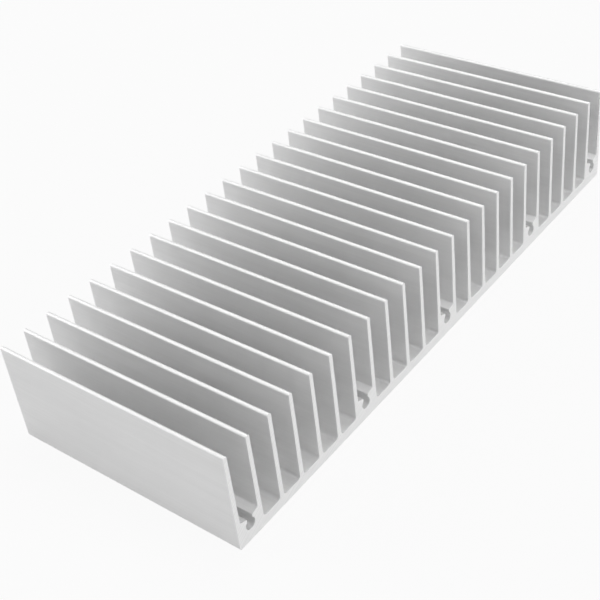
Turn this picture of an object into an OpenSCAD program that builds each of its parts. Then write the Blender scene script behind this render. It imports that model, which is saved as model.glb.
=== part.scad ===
// Extruded aluminium heat sink: a flat plate with a comb of straight fins, and
// screw channels run into the feet of some of its gaps. The whole piece is one
// section, pushed through a die and sawn to length.
//
// Millimetres. X runs across the fins, Y along the extrusion and Z up the fins.
// The origin is the middle of the underside.

/* [Overall size] */

// Width across the fins
sink_w = 150; // [120:1:250]

// Length of the sawn piece, along the extrusion
sink_l = 60; // [20:1:500]

// Height from the underside to the fin tips
sink_h = 25; // [15:0.5:60]

/* [Plate] */

// Thickness of the plate between the fins
plate_t = 2.5; // [1.5:0.1:6]

// Radius of the plate's two long lower edges
plate_edge_r = 0.5; // [0.2:0.1:1]

/* [Fins] */

// Number of fins
fin_n = 24; // [10:1:28]

// Thickness of a fin where it leaves the plate
fin_foot_t = 1.2; // [0.9:0.05:1.8]

// Thickness of a fin where its rounded tip begins
fin_tip_t = 1; // [0.6:0.05:1.5]

// Radius of the fillet on each side of a fin's foot
foot_r = 0.8; // [0.3:0.1:1.5]

/* [Screw channels] */

// Number of screw channels, shared out from the first gap to the last
channel_n = 5; // [2:1:7]

// Diameter of the bore that a screw cuts its thread in
bore_d = 2.7; // [2:0.1:3.6]

// Metal between the bore and the plate's upper face
bore_lift = 0.3; // [0:0.1:1]

// Width of the slot that opens the bore upwards
slot_w = 1.6; // [1:0.1:1.9]

// Height of the slot's straight walls
lip_t = 0.7; // [0.3:0.05:1.2]

// Slope of the lips, down from the fins to the slot
lip_slope = 20; // [10:1:50]

// Radius of the lips' rounded edges
lip_r = 0.2; // [0.1:0.05:0.3]

// Radius of the hollow between a lip and its fin
lip_foot_r = 0.4; // [0.2:0.1:1]

/* [Hidden] */

$fn = 48;

// How far outlines that join run into each other
overlap = 0.4;

fin_pitch = (sink_w - fin_foot_t) / (fin_n - 1);
gap_n = fin_n - 1;

// The tip's round touches both sides of the fin, which lean in by this angle
tip_r = fin_tip_t / 2;
tip_z = sink_h - tip_r;
fin_rise = tip_z - plate_t;
fin_lean = 90 - atan2(fin_rise, fin_foot_t / 2) - asin(tip_r / norm([fin_rise, fin_foot_t / 2]));

// The bore's middle, and the foot and the top of its slot's walls
bore_r = bore_d / 2;
bore_z = plate_t + bore_lift + bore_r;
slot_z = bore_z + sqrt(bore_r ^ 2 - (slot_w / 2) ^ 2);
lip_z = slot_z + lip_t;

function polar(r, a) = [r * cos(a), r * sin(a)];

// Middle of fin number i, from 1
function fin_x(i) = (fin_foot_t - sink_w) / 2 + (i - 1) * fin_pitch;

// Middle of gap number i, from 1
function gap_x(i) = fin_x(i) + fin_pitch / 2;

// The gap that holds screw channel number i, from 1
function channel_gap(i) = round(1 + (i - 1) * (gap_n - 1) / (channel_n - 1));

channel_gaps = [for (i = [1:channel_n]) channel_gap(i)];

function has_channel(gap) = len(search(gap, channel_gaps)) > 0;

// What lies between two straight sides that leave the origin at angles a and b
// and a round of radius r that touches them both
module corner_web(r, a, b) {
    half = (b - a) / 2;
    middle = polar(r / sin(half), a + half);
    difference() {
        polygon([
            polar(-overlap, a + half), polar(r / tan(half), a),
            middle, polar(r / tan(half), b),
        ]);
        translate(middle) circle(r);
    }
}

module plate_section() {
    difference() {
        translate([-sink_w / 2, 0]) square([sink_w, plate_t]);
        for (side = [0, 1]) mirror([side, 0])
            translate([-sink_w / 2, 0]) corner_web(plate_edge_r, 0, 90);
    }
}

// A fin that thins from its foot to a fully rounded tip
module fin_section() {
    touch = polar(tip_r, fin_lean);
    foot = [fin_foot_t / 2, plate_t];
    polygon([
        [-foot.x, foot.y - overlap], [foot.x, foot.y - overlap],
        foot, [touch.x, tip_z + touch.y],
        [-touch.x, tip_z + touch.y], [-foot.x, foot.y],
    ]);
    translate([0, tip_z]) circle(tip_r);
}

// The fillet from a fin's right side to the plate
module foot_fillet() {
    translate([fin_foot_t / 2, plate_t]) corner_web(foot_r, 0, 90 + fin_lean);
}

// Half of a screw channel, on a fin's right side: an arm that fills the corner
// between fin and plate and slopes down to its lip at the slot
module channel_arm() {
    rise = tan(lip_slope);
    lean = tan(fin_lean);
    gap_mid = fin_pitch / 2;
    lip_x = gap_mid - slot_w / 2;
    run = lip_x - fin_foot_t / 2 - plate_t * lean;
    shoulder_z = (lip_z + run * rise) / (1 - lean * rise);
    shoulder_x = fin_foot_t / 2 - (shoulder_z - plate_t) * lean;
    difference() {
        polygon([
            [0, plate_t - overlap], [gap_mid + overlap, plate_t - overlap],
            [gap_mid + overlap, bore_z], [lip_x, bore_z], [lip_x, lip_z],
            [0, lip_z + lip_x * rise],
        ]);
        translate([lip_x, lip_z]) corner_web(lip_r, 180 - lip_slope, 270);
    }
    translate([shoulder_x, shoulder_z]) corner_web(lip_foot_r, -lip_slope, 90 + fin_lean);
}

module gap_corner(gap) {
    if (has_channel(gap)) channel_arm();
    else foot_fillet();
}

module sink_section() {
    difference() {
        union() {
            plate_section();
            for (i = [1:fin_n]) translate([fin_x(i), 0]) {
                fin_section();
                if (i < fin_n) gap_corner(i);
                if (i > 1) mirror([1, 0]) gap_corner(i - 1);
            }
        }
        for (i = channel_gaps) translate([gap_x(i), bore_z]) circle(bore_r);
    }
}

module heat_sink() {
    color("silver") translate([0, sink_l / 2, 0]) rotate([90, 0, 0])
        linear_extrude(sink_l) sink_section();
}

heat_sink();
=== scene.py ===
# An extruded aluminium heat sink in a white studio cove, in metres, in the part's own
# frame: X runs across the fins, Y along them, and Z up from the flat underside.
import bmesh
import bpy
import math
from mathutils import Matrix, Vector


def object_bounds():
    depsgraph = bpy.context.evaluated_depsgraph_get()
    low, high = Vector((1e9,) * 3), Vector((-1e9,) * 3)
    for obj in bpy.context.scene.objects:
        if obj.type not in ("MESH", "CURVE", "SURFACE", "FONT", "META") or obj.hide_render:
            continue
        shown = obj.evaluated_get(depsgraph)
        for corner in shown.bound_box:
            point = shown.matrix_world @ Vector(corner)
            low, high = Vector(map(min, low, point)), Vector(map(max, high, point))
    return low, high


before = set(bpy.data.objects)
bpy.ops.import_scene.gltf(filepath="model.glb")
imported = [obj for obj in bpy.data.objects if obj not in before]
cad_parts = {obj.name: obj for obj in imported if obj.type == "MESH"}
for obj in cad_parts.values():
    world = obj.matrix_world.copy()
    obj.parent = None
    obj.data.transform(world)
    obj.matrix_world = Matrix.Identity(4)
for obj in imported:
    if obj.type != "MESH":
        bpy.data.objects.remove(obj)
cad_low, cad_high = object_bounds()
middle = (cad_low + cad_high) / 2

# ---------------------------------------------------------------- camera
# A short telephoto lens held above the corner where the first fin meets the near
# sawn end, and tipped a little on its own axis.
aim = middle + Vector((-0.0116, 0.0032, -0.0083))
compass = math.radians(-138.239)
height_angle = math.radians(38.025)
tip = math.radians(-7.499)
distance = 0.27976
toward_camera = Vector((
    math.cos(compass) * math.cos(height_angle),
    math.sin(compass) * math.cos(height_angle),
    math.sin(height_angle),
))
lens = bpy.data.cameras.new("camera")
lens.lens = 71.49
lens.sensor_width = 36
camera = bpy.data.objects.new("camera", lens)
level = (-toward_camera).to_track_quat("-Z", "Y").to_matrix()
held = level @ Matrix.Rotation(tip, 3, "Z")
camera.matrix_world = Matrix.Translation(aim + distance * toward_camera) @ held.to_4x4()
bpy.context.scene.collection.objects.link(camera)
bpy.context.scene.camera = camera

# ---------------------------------------------------------------- light
# Soft white light from all round, and three softboxes: one behind the part, to the first
# fin's side, that shines into the gaps, one nearly overhead, and one before the near end.
room_light = 0.38
softbox_size = 0.5
bpy.context.scene.view_settings.view_transform = "Standard"
room = bpy.data.worlds.new("room")
room.use_nodes = True
bpy.context.scene.world = room
glow_all_round = room.node_tree.nodes["Background"]
glow_all_round.inputs["Color"].default_value = (1, 1, 1, 1)
glow_all_round.inputs["Strength"].default_value = room_light


def softbox(name, offset, power):
    lamp = bpy.data.lights.new(name, "AREA")
    lamp.shape = "SQUARE"
    lamp.size = softbox_size
    lamp.energy = power
    stand = middle + Vector(offset)
    facing = (middle - stand).to_track_quat("-Z", "Y").to_matrix()
    box = bpy.data.objects.new(name, lamp)
    box.matrix_world = Matrix.Translation(stand) @ facing.to_4x4()
    bpy.context.scene.collection.objects.link(box)


softbox("softbox_behind", (-0.4, 0.8, 0.4), 3.4)
softbox("softbox_above", (0.2, 0.1, 0.75), 2.5)
softbox("softbox_in_front", (0.15, -0.85, 0.35), 3.6)

# ---------------------------------------------------------------- cove
# A round white studio cove: a flat floor with a wall round it, far from the part. It glows
# white to the lens, and less so in the metal, and it keeps a faint shadow of the part.
cove_r = 3
cove_wall = 2
floor_gap = 0.00005
white_to_lens = 0.92
white_in_metal = 0.37
paint_grey = 0.6
paint_rough = 0.9


class Wire:
    """One output socket of a material, so that its maths reads as plain arithmetic."""

    def __init__(self, tree, socket=None):
        self.tree = tree
        self.socket = socket

    def node(self, kind, settings=None, sockets=None, out=0):
        """Add a node: its settings first, then the value or the wire of each socket."""
        made = self.tree.nodes.new("ShaderNode" + kind)
        for name, value in (settings or {}).items():
            setattr(made, name, value)
        for place, value in (sockets or {}).items():
            if isinstance(value, Wire):
                self.tree.links.new(value.socket, made.inputs[place])
            else:
                made.inputs[place].default_value = value
        return Wire(self.tree, made.outputs[out])

    def math(self, operation, first, second=0.0):
        return self.node("Math", {"operation": operation}, {0: first, 1: second})

    def __add__(self, other):
        return self.math("ADD", self, other)

    def __mul__(self, other):
        return self.math("MULTIPLY", self, other)

    def __rsub__(self, other):
        return self.math("SUBTRACT", other, self)

    def __gt__(self, other):
        return self.math("GREATER_THAN", self, other)

    def __abs__(self):
        return self.math("ABSOLUTE", self)

    __radd__ = __add__
    __rmul__ = __mul__


sweep = bmesh.new()
bmesh.ops.create_circle(sweep, cap_ends=True, segments=96, radius=cove_r)
wall = bmesh.ops.extrude_edge_only(sweep, edges=sweep.edges[:])
wall_top = [part for part in wall["geom"] if isinstance(part, bmesh.types.BMVert)]
bmesh.ops.translate(sweep, verts=wall_top, vec=(0, 0, cove_wall))
bmesh.ops.translate(sweep, verts=sweep.verts, vec=(0, 0, cad_low.z - floor_gap))
cove_mesh = bpy.data.meshes.new("cove")
sweep.to_mesh(cove_mesh)
sweep.free()
cove = bpy.data.objects.new("cove", cove_mesh)
bpy.context.scene.collection.objects.link(cove)

white_paint = bpy.data.materials.new("white_paint")
white_paint.use_nodes = True
cove_mesh.materials.append(white_paint)
paint_nodes = white_paint.node_tree.nodes
paint_shader = paint_nodes["Principled BSDF"]
paint_shader.inputs["Base Color"].default_value = (paint_grey, paint_grey, paint_grey, 1)
paint_shader.inputs["Roughness"].default_value = paint_rough
paint = Wire(white_paint.node_tree, paint_shader.outputs[0])
plain = paint.node("LightPath", out="Is Camera Ray") * white_to_lens
for ray in ("Is Glossy Ray", "Is Transmission Ray"):
    plain = paint.math("MAXIMUM", plain, paint.node("LightPath", out=ray) * white_in_metal)
glow = paint.node("Emission", sockets={"Color": (1, 1, 1, 1), "Strength": 1.0})
surface = paint.node("MixShader", sockets={0: plain, 1: paint, 2: glow})
paint.tree.links.new(surface.socket, paint_nodes["Material Output"].inputs["Surface"])

# ---------------------------------------------------------------- heat sink
# One length of aluminium extrusion: the plate, the fins and the screw channels leave
# the die together, and the bar is then sawn across. It is left in its natural mill
# finish, with die lines along the fins and saw marks on the two cut ends.
die_line = 0.0005
die_line_run = 0.02
die_band = 0.003125
stain = 0.012
saw_mark = 0.0004
saw_axle = Vector((0.03, 0, -0.16))
# Width and grey of the paler band at the sawn ends: partly a burr, partly a painted edge highlight.
burr_and_highlight_width = 0.0003
burr_and_highlight_tone = 0.96
mark_depth = 0.00002

metal = bpy.data.materials.new("mill_finish_aluminium")
metal.use_nodes = True
metal_shader = metal.node_tree.nodes["Principled BSDF"]
metal_shader.inputs["Metallic"].default_value = 1
skin = Wire(metal.node_tree)


def blend(mask, low, high):
    """Go from one grey or colour to another as the mask goes from 0 to 1."""
    ends = [end if isinstance(end, Wire) else (end, end, end, 1) for end in (low, high)]
    return skin.node("Mix", {"data_type": "RGBA"}, {0: mask, 6: ends[0], 7: ends[1]}, out=2)


place = skin.node("TexCoord", out="Object")
along = skin.node("SeparateXYZ", sockets={0: place}, out="Y")
facing_along = skin.node("SeparateXYZ", sockets={0: skin.node("TexCoord", out="Normal")}, out="Y")

# The skin that the die leaves: fine lines and broad bands drawn out along Y, and stains.
drawn = skin.node("VectorMath", {"operation": "MULTIPLY"}, {
    0: place,
    1: (1 / die_line, 1 / die_line_run, 1 / die_line),
})
lines = skin.node("TexNoise", sockets={"Vector": drawn, "Scale": 1.0, "Detail": 2.0})
bands = skin.node("TexNoise", sockets={"Vector": drawn, "Scale": die_line / die_band, "Detail": 1.0})
stains = skin.node("TexNoise", sockets={"Vector": place, "Scale": 1 / stain, "Detail": 3.0})
drawn_skin = lines * 0.35 + bands * 0.35 + stains * 0.3
skin_tone = blend(drawn_skin, 0.84, 1.0)
skin_rough = 0.55 + 0.14 * drawn_skin

# The cut ends: arcs that the saw blade leaves about its axle, well below the plate.
flat = skin.node("VectorMath", {"operation": "MULTIPLY"}, {0: place, 1: (1, 0, 1)})
from_axle = skin.node("VectorMath", {"operation": "DISTANCE"}, {0: flat, 1: saw_axle}, out="Value")
arcs = skin.node("TexNoise", {"noise_dimensions": "1D"}, {
    "W": from_axle * (1 / saw_mark),
    "Scale": 1.0,
    "Detail": 2.0,
})
cut_tone = blend(arcs, 0.86, 1.0)
cut_rough = 0.60 + 0.12 * arcs

# Faces square to Y are the saw's, the rest are the die's, and a paler band edges both ends: partly a
# burr, partly a painted edge highlight.
cut = abs(facing_along) > 0.9
burr_and_highlight_rim = (abs(along) > cad_high.y - burr_and_highlight_width) * (1 - cut)
tone = blend(burr_and_highlight_rim * 0.6, blend(cut, skin_tone, cut_tone), burr_and_highlight_tone)
rough = skin_rough * (1 - cut) + cut_rough * cut
relief = lines * (1 - cut) + arcs * cut
bump = skin.node("Bump", sockets={"Height": relief, "Strength": 0.25, "Distance": mark_depth})
for socket, wire in (("Base Color", tone), ("Roughness", rough), ("Normal", bump)):
    skin.tree.links.new(wire.socket, metal_shader.inputs[socket])

heat_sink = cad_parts["heat_sink"]
heat_sink.data.materials.clear()
heat_sink.data.materials.append(metal)
